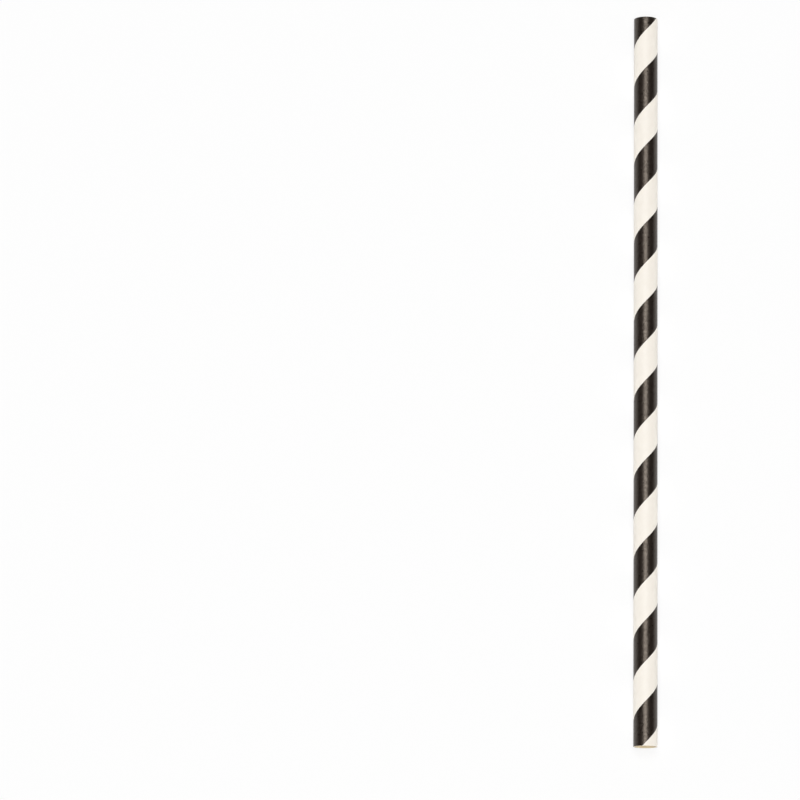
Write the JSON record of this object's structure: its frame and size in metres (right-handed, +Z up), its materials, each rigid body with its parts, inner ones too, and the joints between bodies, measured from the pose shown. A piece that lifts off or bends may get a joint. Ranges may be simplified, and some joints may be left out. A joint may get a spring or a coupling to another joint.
{
  "type": "paper drinking straw",
  "caption": "Straight spiral-wound paper drinking straw with square-cut open ends, printed with a right-hand spiral of equal black and white bands.",
  "frame": {"origin": "middle of the straw's length, on the surface that it lies on, below its axis", "axes": "+Z up, +Y along the straw towards the end that is furthest from the viewer, +X to the viewer's right"},
  "size_m": [0.0064, 0.197, 0.0063],
  "materials": {
    "paper": "smooth coated white paper with black printed spiral bands, uncoated inside and at the cut ends"
  },
  "bodies": {
    "root": {"straw_tube": "paper"}
  },
  "joints": []
}
